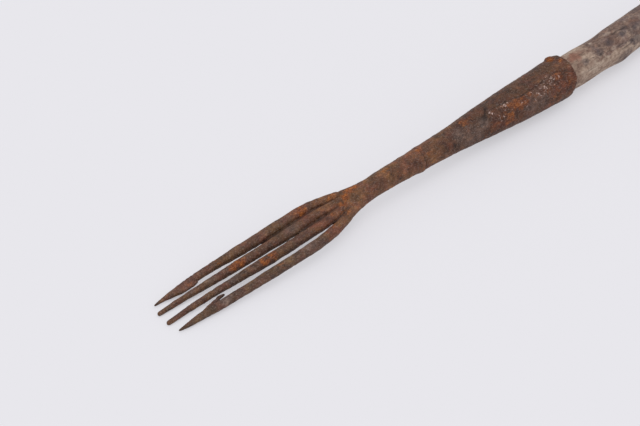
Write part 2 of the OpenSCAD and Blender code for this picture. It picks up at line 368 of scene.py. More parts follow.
# Marks in the rust by kind: ahead, sideways, up, radius, strength.
IRON_MARKS = {
    "rust": (
        (-1, -1, 33, 2, 0.4), (0.8, 0.9, 33, 2.2, 0.8), (1.5, 3, 33, 2.6, 0.6), (4.8, 6.2, 32.5, 3, 1.1),
        (6, -16, 22, 6, 0.6), (6, 9, 32, 3.6, 0.9), (11, -9, 30, 3, 1), (11.5, -9, 31, 3, 1),
        (12.8, -9.6, 31, 2.6, 1.2), (20, -16.2, 17, 6.5, 0.7), (35, 5, 31, 4, 0.4),
        (41.4, -9.4, 29.7, 2.2, 0.9), (46, -11.6, 25.8, 3, 0.9), (47.3, -10.2, 28.7, 3, 1.1),
        (52, -10.8, 26.3, 4, 1), (53, -9.8, 28.7, 3.4, 1.2), (57, -9.8, 27, 3.4, 1),
        (60, -9, 28.8, 2.6, 0.9), (64, -13, 21, 6.5, 0.7), (65, -9.5, 28, 3, 0.6),
        (80, -12.2, 17, 7, 0.5), (92, -0.5, 27.8, 3.4, 0.8), (97, 0.8, 27, 4, 0.8),
        (134, -5, 23.5, 3, 0.6), (139, 0, 25.5, 3.5, 0.7), (170, 0, 24.8, 4, 0.6), (196, 5, 22.5, 3.6, 1),
        (200.6, 4.5, 22, 3.6, 1.1), (202, 8.5, 20.5, 3.6, 0.8), (206, 2, 20.5, 3.4, 1.1),
        (211, -1.5, 19, 3.2, 1), (213, 9.5, 18, 4, 0.6), (214, -8.2, 17.5, 3.2, 0.8),
        (221, -2.8, 17, 2.6, 0.8), (229, -11, 15, 3, 0.8), (235, 14.3, 16, 4.4, 0.9),
        (241, 15.5, 15, 3.4, 0.5), (275, -3.8, 13, 3.8, 1.1), (276, -16, 12.6, 3.4, 0.6),
        (282, -4.6, 12.5, 4, 1), (295, 5.4, 11.5, 4.4, 1.1), (301, 5, 11, 3.6, 1.1),
        (306, 16.9, 10.4, 4, 0.5), (331, 12.3, 8.5, 5, 0.5),
    ),
    "dark": (
        (61, 1.3, 30.1, 5, 0.2), (76.9, -1, 29.1, 1.6, 0.9), (78, 1.2, 28.8, 6, 0.26),
        (82, -5.5, 27, 2.2, 0.9), (90, 0.9, 28, 6, 0.22), (112.9, -8.2, 20.5, 1.7, 1),
        (122, -6, 22.5, 3.5, 0.4), (163, -4, 24, 4, 0.35), (170, -4.1, 23.9, 4, 0.3),
        (179, -6.5, 21.5, 4, 0.4), (216, -11.6, 18, 4, 0.2), (228, -2.7, 16.5, 3, 0.5),
        (246.5, 9.4, 15, 3.2, 0.4), (260, 8, 14, 3.2, 0.3),
    ),
    "red": (
        (8, -14, 25, 9, 0.7), (12.4, -9, 31.5, 4, 1.2), (15, -14, 24, 6, 0.6), (30, 4, 31.5, 6, 0.4),
        (58, -14.5, 18, 8, 0.5), (70, -12, 20, 8, 0.6),
    ),
    # Painted highlights: pale glints coloured onto the glossy crust.
    "painted_glint": (
        (12, -9, 31.4, 3, 0.3), (20.5, -8, 31.3, 4.2, 0.9), (30, -10.5, 29.6, 4.6, 0.8),
        (33, -13, 26.6, 3, 0.7), (42, -9.5, 29.4, 2.6, 0.4), (63.5, -6, 29.6, 2.6, 0.8),
        (69, -11, 25.2, 2.6, 0.6), (75.7, -7, 28.8, 2.2, 1.3),
    ),
    # Greyer patches of the iron, and on the cone's near lower side a painted sheen.
    "grey_and_painted_sheen": (
        (33, -14.5, 23.5, 6, 0.6), (42, -14.4, 23.5, 6, 0.7), (84.8, -8.5, 24.8, 4, 1.1),
        (93, -9.9, 21.5, 6, 0.8), (100.5, -9.7, 20.7, 6, 0.7), (106.2, -6.5, 24.3, 5, 0.9),
        (251.5, -15.4, 15.5, 4.5, 0.5), (251.5, 5.7, 15.5, 4.5, 0.5), (307.5, -2.3, 11.3, 4.5, 0.8),
        (319.5, 7.8, 10.5, 4.5, 0.6), (322.5, -13.4, 10.2, 4.2, 1.1), (335.5, 8.6, 9.3, 3.5, 0.6),
    ),
}
# How warm and how light the iron is, by distance ahead; the socket's low lightness is partly painted shade.
WARMTH = ((0, 0.4), (90, 0.4), (125, 0.7), (160, 1), (215, 1), (245, 0.2))
SHADE = ((0, 0.72), (85, 0.74), (110, 0.84), (130, 0.97), (190, 1.10), (205, 1.22), (235, 0.97))


def painted(p, kind):
    """How strongly one kind of mark colours each point."""
    total = np.zeros(len(p))
    for *centre, radius, strength in IRON_MARKS[kind]:
        d = np.linalg.norm(p - np.array(centre), axis=1)
        total = np.maximum(total, strength * np.clip(1.6 - d / radius, 0, 1))
    return total


def forging(p):
    """The height of the iron's hammered and rusted skin, in millimetres."""
    soft = 0.30 * ripples(p, 17.0, 2, 3)
    scale = 0.20 * ripples(p, 4.2, 3, 11)
    d, tag = lumps(p, 4.6, 29)
    pits = -0.38 * smooth(0.34, 0.05, d) * (tag > 0.62)
    return soft + scale + pits


def finish_iron(obj, rust=0.0, dark=0.0, gloss=0.0):
    """Where an iron piece is rusty, dark or in painted shade, glossy with crust and painted highlights,
    greyer or with painted sheen, or warm brown.
    """
    p = spear_coords(obj)
    ahead, sideways = p[:, 0], p[:, 1]
    least = {"rust": rust, "dark": dark}
    for kind in IRON_MARKS:
        set_value(obj, kind, np.maximum(painted(p, kind), least.get(kind, 0.0)))
    set_value(obj, "gloss", gloss + 0 * ahead)
    # The near outer tine is the coolest of all, and the socket's far side is painted darker, as painted
    # shade.
    cooler = smooth(232, 245, ahead) * smooth(-11, -13, sideways)
    set_value(obj, "warm", linear(ahead, WARMTH) * (1 - cooler))
    darker = 0.07 * smooth(-4, 6, sideways) * smooth(100, 80, ahead)
    set_value(obj, "shade", linear(ahead, SHADE) * (1 - darker))


# Socket

# The lapped edge by distance ahead: its angle, and how far it stands up.
SEAM = ((-9, -60), (-3, -50), (2, -41), (7, -31), (12.5, -23.5), (20, -27), (34, -30.5), (47, -32.5),
        (53, -27.5), (61, -23), (69, -22), (73.6, -20), (75, 1), (78.5, -14), (82, -28), (90, -27))
LAP_RISE = ((-9, 1.1), (10, 1.3), (40, 1.15), (70, 0.95), (78, 0.8), (84, 0.25), (88, 0.0))
SEAM_BASE = -28.0
# How dark the painted shade in the groove at the lapped edge is, by distance ahead.
GROOVE_SHADE = ((-8, 0.2), (4, 0.3), (25, 0.65), (45, 0.95))
# How far ahead a fold in the plate runs, by angle.
FOLD = ((-60, -5), (-47, -1), (-30, 3.2), (-7, 6.6), (11, 9.8), (21, 13.5), (60, 15), (90, 8))
# The rim's cut face, from the outside in: share of the wall, and how far it lies back.
RIM_FACE = ((0.03, 0.45), (0.12, 0.75), (0.5, 0.85), (0.88, 0.7), (0.97, 0.4), (1.0, -0.2))


def seam_at(a):
    return linear(a, SEAM) + 1.2 * wave(a, 5.0, 71)


def mouth_rim(theta):
    """How far ahead the uneven rim lies at each angle."""
    rim = -MOUTH_R * math.tan(MOUTH_SLANT) * np.cos(np.radians(theta - LIP_ANGLE))
    edge = np.stack([np.cos(np.radians(theta)) * 16, np.sin(np.radians(theta)) * 16, theta * 0], -1)
    rim = rim + 0.7 * ripples(edge, 5.0, 2, 5)
    # The near lower half of the rim has rusted back.
    return rim + 2.2 * hump(signed(theta) + 85, 70)


def crust_on(rings, phi, a):
    """The flaking crust along the lap: how much there is, its knobs and its crumbs."""
    side = np.where(phi > 180, phi - 360, phi)
    crust = hump((side - 11) / np.where(side > 11, 26, 13), 1.0) * smooth(4, 12, a) * smooth(84, 74, a)
    crust = np.clip(crust + 0.45 * ripples(rings, 7.0, 2, 41), 0, 1) * smooth(0.02, 0.2, crust)
    d, tag = lumps(rings, 2.9, 57)
    knobs = smooth(0.66, 0.12, d) * (tag > 0.3) * (0.5 + 0.7 * tag)
    d, tag = lumps(rings, 1.5, 59)
    crumbs = smooth(0.6, 0.1, d) * (tag > 0.5)
    return crust, knobs, crumbs


def bore_rings(rim):
    """The rings of the bore and of the rim's cut face, from the narrow end to the mouth."""
    off = rim - np.array([0, 0, REST_H])
    off[:, 0] = 0
    reach = np.linalg.norm(off, axis=1)
    outward = off / reach[:, None]

    def ring(at, radius):
        return np.column_stack([at, outward[:, 1] * radius, outward[:, 2] * radius + REST_H])

    rings = []
    for share, back in RIM_FACE:
        face = ring(rim[:, 0] - back, reach + (MOUTH_R - SOCKET_WALL - reach) * share)
        face[:, 0] += 0.25 * ripples(face, 3.0, 2, 83)
        rings.append(face)
    for share in (0.06, 0.14, 0.3, 0.5, 0.7, 0.85, 1.0):
        at = rim[:, 0] * (1 - share) + SOCKET_LEN * share
        rings.append(ring(at, socket_r(at) - SOCKET_WALL))
    return np.array(rings[::-1])


def socket_piece():
    cols, rows = 232, 300
    # The first columns climb the lapped edge from the groove at its foot.
    phi = np.concatenate([[-3.8, -2.4, -1.0], np.linspace(0.6, 355.2, cols - 3)])
    step = np.concatenate([[-0.3, 0.25, 0.75], np.ones(cols - 3)])
    far_side = phi > 180
    u = np.linspace(0, 1, rows)[:, None]
    theta0 = SEAM_BASE - phi
    a = mouth_rim(theta0) * (1 - u) + SOCKET_LEN * u
    near_seam = np.maximum(smooth(75, 0, phi), smooth(285, 360, phi))
    theta = theta0 + (seam_at(a) - SEAM_BASE) * near_seam
    rise = linear(a, LAP_RISE)
    worn = rise * (0.8 + 0.35 * wave(a, 7.0, 73))
    r = socket_r(a) + worn * smooth(125, 0, phi) * step
    # The far plate dips a little where it runs under the near one.
    r = r - 0.2 * (rise > 0.2) * smooth(350, 355, phi)
    # A fold runs behind the rim over the top, and the band in front of it stands up.
    past_fold = a - linear(theta, FOLD)
    over_top = smooth(-52, -38, theta) * smooth(100, 55, theta) * far_side
    crease = hump(past_fold - 1.0, 1.5)
    r = r + over_top * (0.75 * smooth(1.2, -2.0, past_fold) - 0.9 * crease)
    # The plate swells round the nail.
    ahead = (a - NAIL_SEEN_AT) * np.where(a > NAIL_SEEN_AT, 0.72, 1.1)
    swell = np.sqrt(ahead ** 2 + (np.radians(theta - NAIL_ANGLE) * MOUTH_R) ** 2)
    r = r + 1.5 * hump(swell, 7.0) * far_side
    # It is dented low at the mouth's near side and along the upper far side.
    r = r - 0.6 * smooth(9, -1, a) * hump(theta + 105, 45)
    r = r - 0.35 * hump(theta - 60, 40) * smooth(12, 24, a) * smooth(95, 70, a)
    y = r * np.sin(np.radians(theta)) - 0.4 * hump(a - 34, 24)
    z = r * np.cos(np.radians(theta)) + REST_H
    rings = np.stack([a, y, z], axis=-1)
    crust, knobs, crumbs = crust_on(rings, phi, a)
    skin = forging(rings) + crust * (0.1 + 0.85 * knobs + 0.3 * crumbs)
    broken = smooth(-0.3, 0.4, ripples(rings, 9.0, 2, 43) + 0.2)
    rings = displace(rings, skin * smooth(1.0, 0.985, u))
    inner = bore_rings(rings[0])
    whole = np.concatenate([inner, rings])
    obj = build("socket_plate", whole.reshape(-1, 3), grid_faces(len(whole), cols, joined=True))

    def spread(values, inside=0.0):
        full = np.full(whole.shape[:2], inside)
        full[len(inner):] = values
        return full.ravel()

    # Painted shade: the groove at the lapped edge is dark where no crust fills it, the fold's crease is a
    # little dark too, and the inside and the rim's cut face a little.
    line = np.maximum(smooth(2.0, 0.4, np.abs(phi + 3.2)), smooth(352, 355, phi))
    line = line * smooth(0.1, 0.5, rise) * (1 - 0.8 * crust) * broken
    line = np.maximum(line * linear(a, GROOVE_SHADE), 0.28 * over_top * crease)
    gloss = np.clip(crust * (0.35 + 0.9 * knobs + 0.4 * crumbs), 0, 1) * smooth(6, 14, a)
    finish_iron(obj, spread(crust * (0.35 + 0.45 * knobs)), spread(line, 0.35), spread(gloss))
    return obj


# Neck and palm

def neck_size(s):
    """The neck's width, thickness and squareness, s millimetres past the socket."""
    palm_at = NECK_LEN - PALM_LEN
    shoulder = 2 * SOCKET_END_R - 0.4
    if s < palm_at:
        w = WAIST_D + (shoulder - WAIST_D) * (1 - max(s, 0) / palm_at) ** 1.2
        return w, w, 2.0
    u = min((s - palm_at) / PALM_LEN, 1.0)
    return WAIST_D + (PALM_W - WAIST_D) * u ** 1.75, WAIST_D + (PALM_T - WAIST_D) * u, 2.0 + 0.5 * u


# How the neck's far and near sides depart from the plain taper, at distances past the scarf.
FAR_SIDE = ((-70, 0), (-55, -0.04), (-42, -0.05), (-33, -0.02), (-25, -0.05), (-17, -0.03), (-11, 0.02),
            (-7, 0.035), (-3, -0.02), (0, -0.06))
NEAR_SIDE = ((-70, 0), (-30, 0), (-20, 0.03), (-12, 0.05), (-6, 0.03), (0, 0))


def sides(y, s):
    """The sideways measures y of a ring of the neck, as the hammer left them."""
    far, near = [float(linear(s - NECK_LEN, table)) for table in (FAR_SIDE, NEAR_SIDE)]
    return y * np.where(y > 0, 1 + far, 1 + near)


def neck_ring(s, cols):
    """One ring of the neck. At the palm's front the tines' roots show as low ribs."""
    q = turns(cols)
    w, t, square = neck_size(s)
    y = w / 2 * power(np.cos(q), 2 / square)
    z = t / 2 * power(np.sin(q), 2 / square)
    top = np.full(cols, t / 2 * float(1 - 0.2 * smooth(NECK_LEN - 9, NECK_LEN, s)))
    for i in range(4):
        v = np.clip(np.abs(y - root_y(i) * w / PALM_W) / (w / PALM_W * ROOT_W / 2 * 1.06), 0, 1)
        top = np.maximum(top, t / 2 * (1 - v ** 2.5) ** 0.4)
    z = np.sign(z) * np.minimum(top, np.abs(z))
    y = sides(y, s)
    a = SOCKET_LEN + s
    lean = SCARF * np.clip((s - NECK_LEN + PALM_LEN) / PALM_LEN, 0, 1) ** 2
    return np.stack([np.full(cols, a) - z * lean, y, z + centre_h(a)], axis=-1)


def web_ring(s, cols):
    """One ring of the web that the weld left between the tines, s millimetres past the scarf."""
    q = turns(cols)
    reach = ROOT_W / 2 * (0.9 - 0.8 * float(smooth(0, 2, s)))
    # It ends first between the near tines, and runs on between the far ones.
    tines = [float(middle(i, s)) for i in range(4)]
    first = np.interp(s, (18.5, 21.5, 50, 53), (0, 1, 1, 2))
    lo = float(np.interp(first, range(4), tines)) - reach
    hi = tines[3] + reach
    high = PALM_T / 2 * float(np.interp(s, (0, 17, 25, WEB_LEN), (0.8, 0.2, 0.25, 0.1)))
    y = (lo + hi) / 2 + (hi - lo) / 2 * power(np.cos(q), 0.6)
    z = high * power(np.sin(q), 0.6)
    # Between two tines its edge lies further back than along them.
    hollow = float(np.interp(s, (6, 17, 30, WEB_LEN), (0, 5, 12, 14)))
    a = ROOT_AT + s - hollow * np.sin(np.pi * np.interp(y, tines, range(4))) ** 2
    return np.stack([a - z * SCARF, y, z + centre_h(a)], axis=-1)


def neck_piece():
    cols = 160
    stations = np.concatenate([[-9.0, -5.0, -1.0], np.linspace(0, NECK_LEN, 170)])
    rings = np.array([neck_ring(s, cols) for s in stations])
    past = stations[:, None]
    # It is a little thinner inside the socket than ahead of it.
    inset = 0.7 * smooth(0.4, -0.6, past)
    skin = forging(rings)
    # A flake of iron stands up on the lower near side, just ahead of the socket.
    under = np.degrees(np.arctan2(rings[..., 1], rings[..., 2] - REST_H))
    flake = 0.6 * smooth(9, 1, past) * smooth(-0.6, 0.6, past) * hump(under + 130, 60)
    rings = displace(rings, skin + flake - inset)
    web = np.array([web_ring(s, cols) for s in np.linspace(0.6, WEB_LEN, 84)])
    web[..., 2] += 0.7 * ripples(web, 3.5, 2, 47)
    rings = np.concatenate([rings, web])
    points, faces = tube(rings)
    obj = build("neck_bar", points, faces)
    p = spear_coords(obj)
    # Painted shade darkens the grooves between the tines, from the scarf on.
    groove = np.zeros(len(p))
    for i in range(3):
        s = np.clip(p[:, 0] - ROOT_AT, 0, None)
        line = (middle(i, s) + middle(i + 1, s)) / 2
        groove = np.maximum(groove, hump(p[:, 1] - line, 1.0))
    groove *= smooth(ROOT_AT - 1, ROOT_AT + 6, p[:, 0])
    finish_iron(obj, 0.0, groove * 0.8)
    return obj


# Tines

# By distance past the scarf, for the near outer, near inner, far inner and far outer tine: how far each
# wanders to the far side, and its girth against the solid's.
WANDER = (
    ((0, 0.2), (16, 0.5), (24, 0.4), (31, 0.4), (38, 0.15), (50, -0.1), (60, -0.25), (68, -0.45),
     (76, -0.35), (84, -0.2), (92, -0.3), (100, 0), (108, 0.05), (116, 0), (124, 0.42), (132, 0.6),
     (138, 0.38), (144, 0.15), (150, 0.2)),
    ((0, 0), (20, 0.35), (31, 0.8), (38, 0.8), (50, 0.5), (60, 0.2), (78, 0.25), (90, 0.4), (98, 0.25),
     (105, 0.45), (112, 0.55), (124, 0.3), (132, 0.25), (140, -0.25), (147, -0.65), (153, -0.9)),
    ((0, 0), (20, 0), (38, -0.4), (53, -0.6), (60, -0.45), (67, -0.55), (78, -0.65), (90, -0.5),
     (98, -0.3), (105, -0.3), (112, -0.35), (120, -0.1), (130, 0), (140, -0.15), (147, -0.3),
     (153, -0.4)),
    ((-1, -1.3), (0, -1.1), (5, -0.4), (10, 0), (16, -0.1), (24, -0.65), (31, -1.1), (38, -1.1),
     (53, -0.95), (67, -0.85), (81, -0.28), (89, -0.1), (96, 0.15), (104, 0.3), (112, 0.4), (120, 0.4),
     (128, 0.15), (136, -0.25), (143, -0.45), (150, -0.8)),
)
GIRTH = (
    ((0, 1), (24, 1), (35, 1.05), (50, 1.02), (60, 1), (68, 1.01), (76, 1.04), (92, 1.05), (100, 1.03),
     (108, 1), (116, 1.04), (124, 1.04), (132, 1.05), (140, 1.1), (146, 1.25), (150, 1.5)),
    ((0, 1), (24, 0.95), (38, 0.95), (50, 0.98), (60, 0.92), (67, 0.98), (81, 1.03), (90, 1), (97, 0.96),
     (104, 0.93), (112, 0.92), (124, 0.94), (132, 1), (140, 0.96), (150, 1)),
    ((0, 1), (20, 1), (38, 1.01), (54, 0.97), (60, 0.9), (66, 0.93), (78, 0.96), (86, 1.02), (92, 1.05),
     (98, 1.04), (104, 1.02), (112, 0.99), (120, 0.93), (132, 0.95), (140, 0.97), (150, 0.9)),
    ((0, 1), (16, 1), (24, 1.04), (31, 1.09), (60, 1.13), (68, 1.13), (76, 1.12), (89, 1.03), (104, 0.97),
     (120, 0.92), (132, 0.95), (143, 1), (150, 1.25)),
)
TIP_EXTRA = (1.0, 0.3, 0.1, 0.5)
# Each barb from its root to its tip: distance past the scarf, its inner and outer edge off the tine's
# middle, and half its height.
BARB_SHAPES = {
    0: (
        (131, -1, 2.6, 1.5), (124.6, -1, 4.4, 1.9), (119.7, -1, 5.6, 1.9), (117.5, -1, 6.1, 1.8),
        (116.2, 1.5, 6.4, 1.7), (115.3, 3.8, 6.95, 1.6), (114.3, 4.4, 7.3, 1.4), (112.9, 4.7, 7.2, 1.2),
        (111.3, 4.85, 6.95, 1.1), (109.8, 5.1, 6.6, 0.9), (109.2, 5.5, 6.2, 0.5),
    ),
    3: (
        (141, -1, 1.9, 1.1), (136.5, -1, 2.9, 1.5), (132.7, -1, 3.7, 1.6), (129.9, -1, 4.6, 1.6),
        (126.8, -1, 5.1, 1.6), (123.4, 0, 5.15, 1.6), (120, 1.5, 5.1, 1.5), (118.3, 2.6, 4.95, 1.3),
        (116.8, 3.3, 4.6, 1), (115.8, 3.6, 4.2, 0.6),
    ),
}
TINE_VOXEL = 0.32


def middle(i, s):
    """How far to the far side a tine's middle lies, s millimetres past the scarf."""
    return fan(i, s) + curved(s, WANDER[i])


def tine_ring(i, s, w, cols):
    q = turns(cols)
    settle = float(np.clip(s / 14.0, 0, 1))
    heading = math.atan(float(middle(i, s + 0.5) - middle(i, s - 0.5))) * settle
    lean = SCARF * (1 - settle)
    t = w * TINE_FLAT + (PALM_T - ROOT_W * TINE_FLAT) * (1 - settle) ** 2
    square = 2.5 - 0.25 * float(smooth(10, 40, s))
    across = w / 2 * power(np.cos(q), 2 / square)
    up = t / 2 * power(np.sin(q), 2 / square)
    a = ROOT_AT + s
    return np.stack([np.full(cols, a) - across * math.sin(heading) - up * lean,
                     middle(i, s) + across * math.cos(heading), up + centre_h(a)], axis=-1)


def remesh(obj, size):
    """The object's shell rebuilt as one even skin, which welds the solids in it together."""
    modifier = obj.modifiers.new("shell", "REMESH")
    modifier.mode = "VOXEL"
    modifier.voxel_size = size / 1000.0
    modifier.adaptivity = 0.0
    ease_mod = obj.modifiers.new("ease", "SMOOTH")
    ease_mod.factor = 0.5
    ease_mod.iterations = 2
    graph = bpy.context.evaluated_depsgraph_get()
    mesh = bpy.data.meshes.new_from_object(obj.evaluated_get(graph))
    obj.modifiers.clear()
    old = obj.data
    obj.data = mesh
    mesh.name = obj.name
    bpy.data.meshes.remove(old)
    mesh.polygons.foreach_set("use_smooth", [True] * len(mesh.polygons))


def push(obj, heights):
    """Moves each point of a mesh along its normal by a height in millimetres."""
    mesh = obj.data
    co = point_vectors(mesh, "co") + point_vectors(mesh, "normal") * heights[:, None] / 1000.0
    mesh.vertices.foreach_set("co", co.ravel())
    mesh.update()


def root_rings(i, width, cols):
    """The rings of a tine's root inside the palm."""
    rings = []
    for s in (-5.0, -2.5, -1.0):
        ring = tine_ring(i, 0.0, width, cols)
        ring[:, 0] += s
        ring[:, 1] *= neck_size(NECK_LEN + s)[0] / PALM_W * (1 + 0.025 * s)
        ring[:, 1] = sides(ring[:, 1], NECK_LEN + s)
        ring[:, 2] = (ring[:, 2] - centre_h(ROOT_AT)) * (1 + 0.02 * s) + centre_h(ROOT_AT + s)
        rings.append(ring)
    return rings


def barb_rings(i):
    """The rings of an outer tine's barb, from its tip to its root."""
    shape = np.array(BARB_SHAPES[i])
    inwards = 1 if i == 0 else -1
    q = turns(24)
    rings = []
    for k in np.linspace(0, len(shape) - 1, 41)[::-1]:
        s, inner, outer, half = (curved(k, list(enumerate(shape[:, c]))) for c in range(4))
        off = (inner + outer) / 2 + (outer - inner) / 2 * power(np.cos(q), 0.9)
        up = half * power(np.sin(q), 0.8)
        a = ROOT_AT + s
        rings.append(np.stack([np.full(len(q), a), middle(i, s) + inwards * off, up + centre_h(a)], axis=-1))
    return np.array(rings)


def tine_piece(i, name):
    outer = i in BARB_SHAPES
    length = (OUTER_LEN if outer else INNER_LEN) + TIP_EXTRA[i]
    width = outer_w if outer else inner_w
    end = 1.0 if outer else 1.6
    cols = 40
    body = np.linspace(0, length - end, 230)
    cap = length - end + end * np.sin(np.radians([20, 40, 60, 75, 86]))
    rings = root_rings(i, float(width(np.array(0.0))), cols)
    for s in np.concatenate([body, cap]):
        past = (s - length + end) / end
        round_off = 1.0 if s < length - end else math.sqrt(max(0.0, 1 - past ** 2))
        w = float(width(np.array(s)) * curved(s, GIRTH[i])) * max(round_off, 0.06)
        rings.append(tine_ring(i, float(s), w, cols))
    points, faces = tube(np.array(rings))
    if outer:
        more, more_faces = tube(barb_rings(i), flip=i == 0)
        faces = faces + [[v + len(points) for v in f] for f in more_faces]
        points = np.vstack([points, more])
    obj = build(name, points, faces)
    bpy.context.view_layer.update()
    remesh(obj, TINE_VOXEL)
    p = spear_coords(obj)
    # The skin is smoother towards the tip.
    behind_tip = smooth(0, 26, ROOT_AT + length - p[:, 0])
    push(obj, forging(p) * (0.35 + 0.65 * behind_tip))
    finish_iron(obj)
    return obj


# Nail

# From the crown down, radius as a share of the head's and height over the socket.
NAIL_PROFILE = ((0.06, 1.75), (0.2, 1.7), (0.4, 1.6), (0.6, 1.4), (0.76, 1.1), (0.9, 0.7), (1.0, 0.3),
                (1.05, 0.0), (1.05, -0.5), (0.95, -0.9), (0.6, -1.1), (0.38, -1.3), (0.37, -4.0),
                (0.36, -9.0), (0.3, -15.0))
NAIL_HEAD_FOOT = -1.2


def nail_piece():
    q = turns(48)
    uneven = 1 + 0.06 * np.cos(2 * q + 0.6) + 0.05 * np.cos(3 * q + 2.0) + 0.03 * np.cos(5 * q)
    edge = NAIL_HEAD_R * uneven
    r0 = float(socket_r(NAIL_AT))
    turn = math.radians(NAIL_ANGLE)
    axis = np.array([0, math.sin(turn), math.cos(turn)])
    side = np.array([0, math.cos(turn), -math.sin(turn)])
    ahead = np.array([1.0, 0, 0])
    centre = np.array([NAIL_SEEN_AT, 0, REST_H]) + axis * (r0 + 0.3)
    forward = np.where(np.cos(q) > 0, 0.65, 1.0)
    coarse = []
    for scale, height in NAIL_PROFILE:
        rim = edge if scale > 0.5 else NAIL_HEAD_R * (edge / NAIL_HEAD_R) ** (scale * 2)
        off = np.outer(np.cos(q) * forward * rim * scale, ahead) + np.outer(np.sin(q) * rim * scale, side)
        # The head's skirt follows the socket's round, and its front edge is worn down.
        sink = (np.sin(q) * rim * scale) ** 2 / (2 * r0) + 1.1 * np.clip(np.cos(q), 0, 1) * scale
        sink = sink * (height > NAIL_HEAD_FOOT)
        coarse.append(centre + off + np.outer(height - sink, axis))
    rings = []
    for one, other in zip(coarse, coarse[1:]):
        rings += [one, one * 0.5 + other * 0.5]
    rings = np.array(rings + [coarse[-1]])
    # Only the crown is lumpy.
    crown = smooth(-2, 0, np.linspace(0, -8, len(rings)))[:, None]
    points, faces = tube(displace(rings, 0.45 * ripples(rings, 2.6, 2, 61) * crown))
    obj = build("nail", points, faces)
    finish_iron(obj)
    return obj


# Shaft

# The pole's middle line and thickness: ahead, how far to the far side, radius.
POLE = ((-900, 0, 16.75), (-655, 0, 16.75), (-560, 1.2, 16.4), (-470, 2.6, 15.9), (-380, 1.2, 15.6),
        (-300, 2, 15), (-220, 5, 14.6), (-150, 6, 14.3), (-110, 5, 13.8), (-90, 3.5, 13.2),
        (-82, 3.1, 13.05), (-75, 2.6, 13.15), (-64, 1.55, 13.4), (-56, 0.6, 13.5), (-48, 0.25, 13),
        (-38, -0.1, 12.65), (-30, -0.2, 12.9), (-22, 0, 13.5), (-12, -0.2, 13.55), (0, 0, 13.1),
        (4, 0, 12.9))
# Knots that stand up: ahead, angle, size, height.
KNOTS = ((-17, -38, 2.6, 0.4), (-56, -104, 7, 0.5), (-72, -30, 5, 0.8), (-88, 35, 6, 0.7),
         (-165, 80, 6, 1.2), (-240, -60, 7, 1.6), (-330, 20, 6, 1.1), (-415, -130, 7, 1.4),
         (-500, 60, 6, 0.9), (-585, -20, 5, 0.7))
# Marks on the pole by kind: ahead, angle, half length, half width, strength.
WOOD_MARKS = {
    "stain": (
        (-11, -4, 5.5, 4.2, 1), (-17, 6, 4, 3, 0.5), (-2, 12, 5, 9, 0.5),
    ),
    "chip": (
        (-32.5, 14, 1.8, 1.6, 1), (-46, -45, 3, 1.5, 0.6), (-50, 10, 3, 2, 0.5),
    ),
    "knot": (
        (-33.4, -33, 4, 2.5, 0.7), (-44.8, -23, 4, 2.5, 0.8), (-61.5, -20, 5, 2.5, 0.8),
        (-71, -64, 5, 2.5, 1), (-60.5, -85, 6, 2, 0.6), (-49, -106, 4, 1.5, 0.5), (-40, 26, 5, 1.2, 0.5),
        (-70, -66, 8, 4, 1), (-63.3, -14, 3.5, 2.5, 0.9), (-17.4, -38, 3, 2.2, 0.7),
    ),
    "ruddy": (
        (-12, -36, 4, 3, 0.8), (-22.6, -3, 6, 2.4, 0.8), (-7, -62, 3, 5, 0.5), (-47.6, -1, 6, 2.6, 0.7),
        (-75.4, -6, 6, 3, 1), (-56, -38, 5, 2.4, 0.8), (-63, 20, 7, 2.4, 0.5), (-44.6, -43, 5, 3, 0.6),
        (-24, -52, 7, 3, 0.4),
    ),
}
# The butt's worn bevel and its sawn face: distance past the last ring, and share of its size.
BUTT_BEVEL = ((0.7, 0.985), (1.4, 0.955), (1.8, 0.92))
BUTT_FACE = [(2.0, share) for share in (0.87, 0.75, 0.6, 0.45, 0.3, 0.15, 0.05)]


def marked(kind, ahead, angle, radius, ragged):
    """How strongly one kind of mark colours the pole."""
    total = 0 * ahead
    for at, turn, length, width, strength in WOOD_MARKS[kind]:
        sideways = np.radians(signed(angle - turn)) * radius / width
        d = np.hypot((ahead - at) / length, sideways) + 0.55 * ragged
        total = np.maximum(total, strength * smooth(1.3, 0.6, d))
    return total


def butt_rings(last):
    """The rings of the butt's bevel and of its sawn face."""
    rings = []
    for off, scale in (*BUTT_BEVEL, *BUTT_FACE):
        ring = last.copy()
        ring[:, 1] *= scale
        ring[:, 2] = REST_H + (ring[:, 2] - REST_H) * scale
        ring[:, 0] -= off
        if (off, scale) in BUTT_FACE:
            ring[:, 0] += 0.12 + 0.10 * ripple(ring * np.array([0, 0.15, 1.0]), 1.6, 119)
        rings.append(ring)
    return rings


